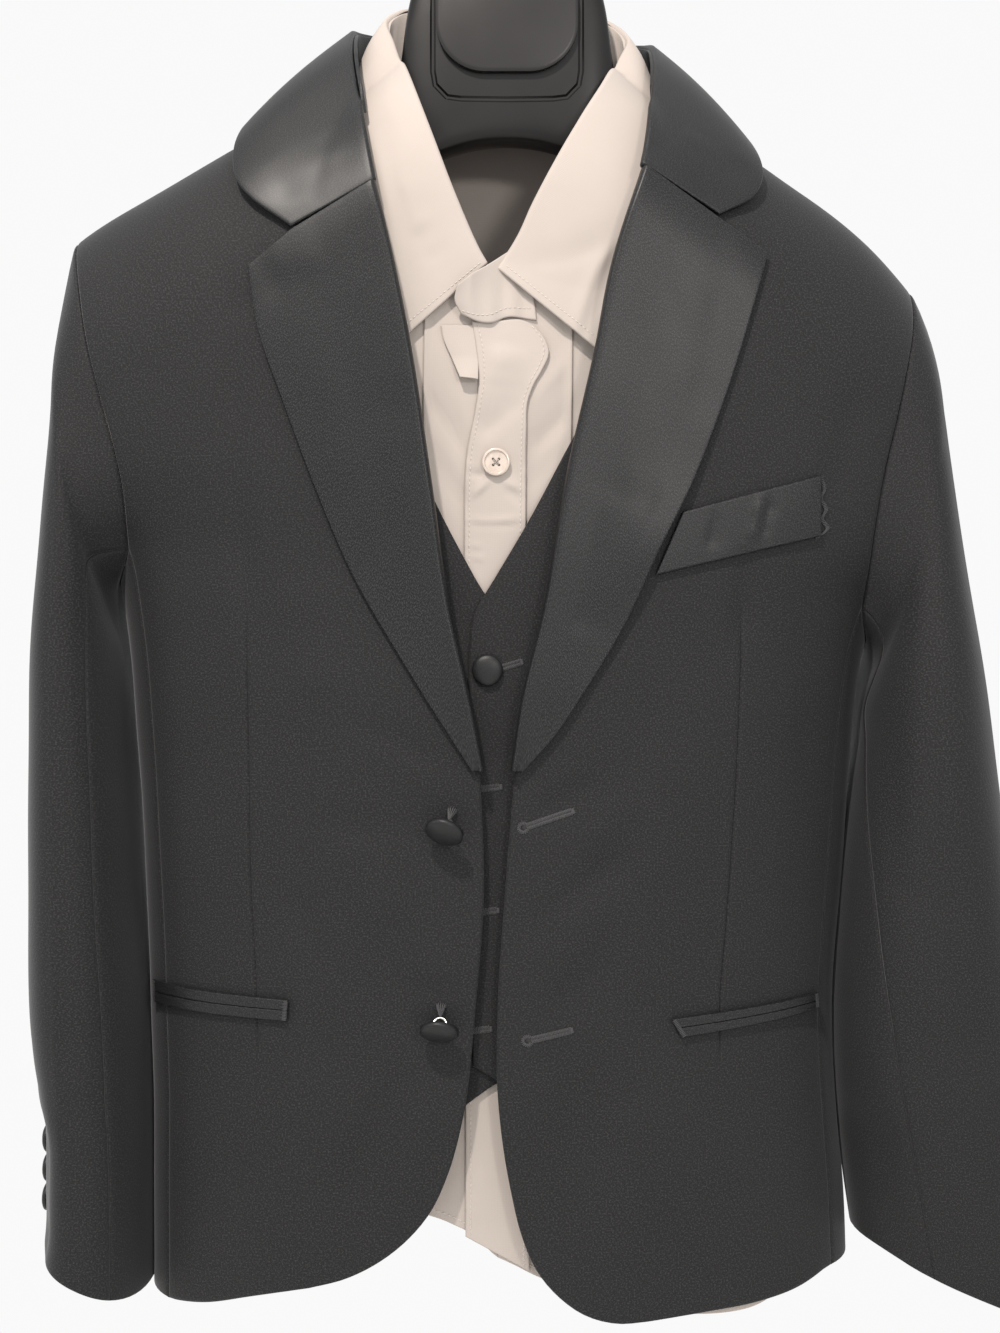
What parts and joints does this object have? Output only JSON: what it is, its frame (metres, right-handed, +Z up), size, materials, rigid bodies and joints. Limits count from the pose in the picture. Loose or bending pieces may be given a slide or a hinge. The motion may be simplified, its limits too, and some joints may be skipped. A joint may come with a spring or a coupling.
{
  "type": "boy's tuxedo on a clothes hanger",
  "caption": "A boy's tuxedo jacket with peaked satin lapels, worn over a waistcoat and a white dress shirt, hung together on a moulded hanger with a wire hook.",
  "frame": {"origin": "the inside top of the hook, where a rail holds the part", "axes": "+Z up; the garments' front faces -Y; +X is the wearer's left"},
  "size_m": [0.4415, 0.1264, 0.6529],
  "materials": {
    "wool": "matt worsted twill",
    "satin": "satin sheen",
    "shirting": "plain poplin",
    "shirt_button": "polished",
    "hanger_plastic": "semi-gloss moulded",
    "steel": "bright plated wire"
  },
  "bodies": {
    "root": {"jacket_front_right": "wool", "jacket_front_left": "wool", "jacket_side_right": "wool", "jacket_side_left": "wool", "jacket_back_right": "wool", "jacket_back_left": "wool", "top_sleeve_right": "wool", "top_sleeve_left": "wool", "under_sleeve_right": "wool", "under_sleeve_left": "wool", "waistcoat_front_right": "wool", "waistcoat_front_left": "wool", "waistcoat_back": "wool", "lapel_right": "satin", "lapel_left": "satin", "collar_fall": "satin", "collar_stand": "satin", "breast_welt": "satin", "hip_welt_upper_right": "satin", "hip_welt_lower_right": "satin", "hip_welt_upper_left": "satin", "hip_welt_lower_left": "satin", "jacket_button_upper": "satin", "jacket_button_lower": "satin", "waistcoat_button_1": "satin", "waistcoat_button_2": "satin", "waistcoat_button_3": "satin", "waistcoat_button_4": "satin", "cuff_button_right_1": "satin", "cuff_button_right_2": "satin", "cuff_button_right_3": "satin", "cuff_button_left_1": "satin", "cuff_button_left_2": "satin", "cuff_button_left_3": "satin", "shirt_front_right": "shirting", "shirt_front_left": "shirting", "shirt_back": "shirting", "shirt_sleeve_right": "shirting", "shirt_sleeve_left": "shirting", "shirt_placket": "shirting", "shirt_collar": "shirting", "shirt_neckband": "shirting", "shirt_button": "shirt_button", "hanger_body": "hanger_plastic", "hanger_pad": "hanger_plastic", "hanger_hook": "steel"}
  },
  "joints": []
}
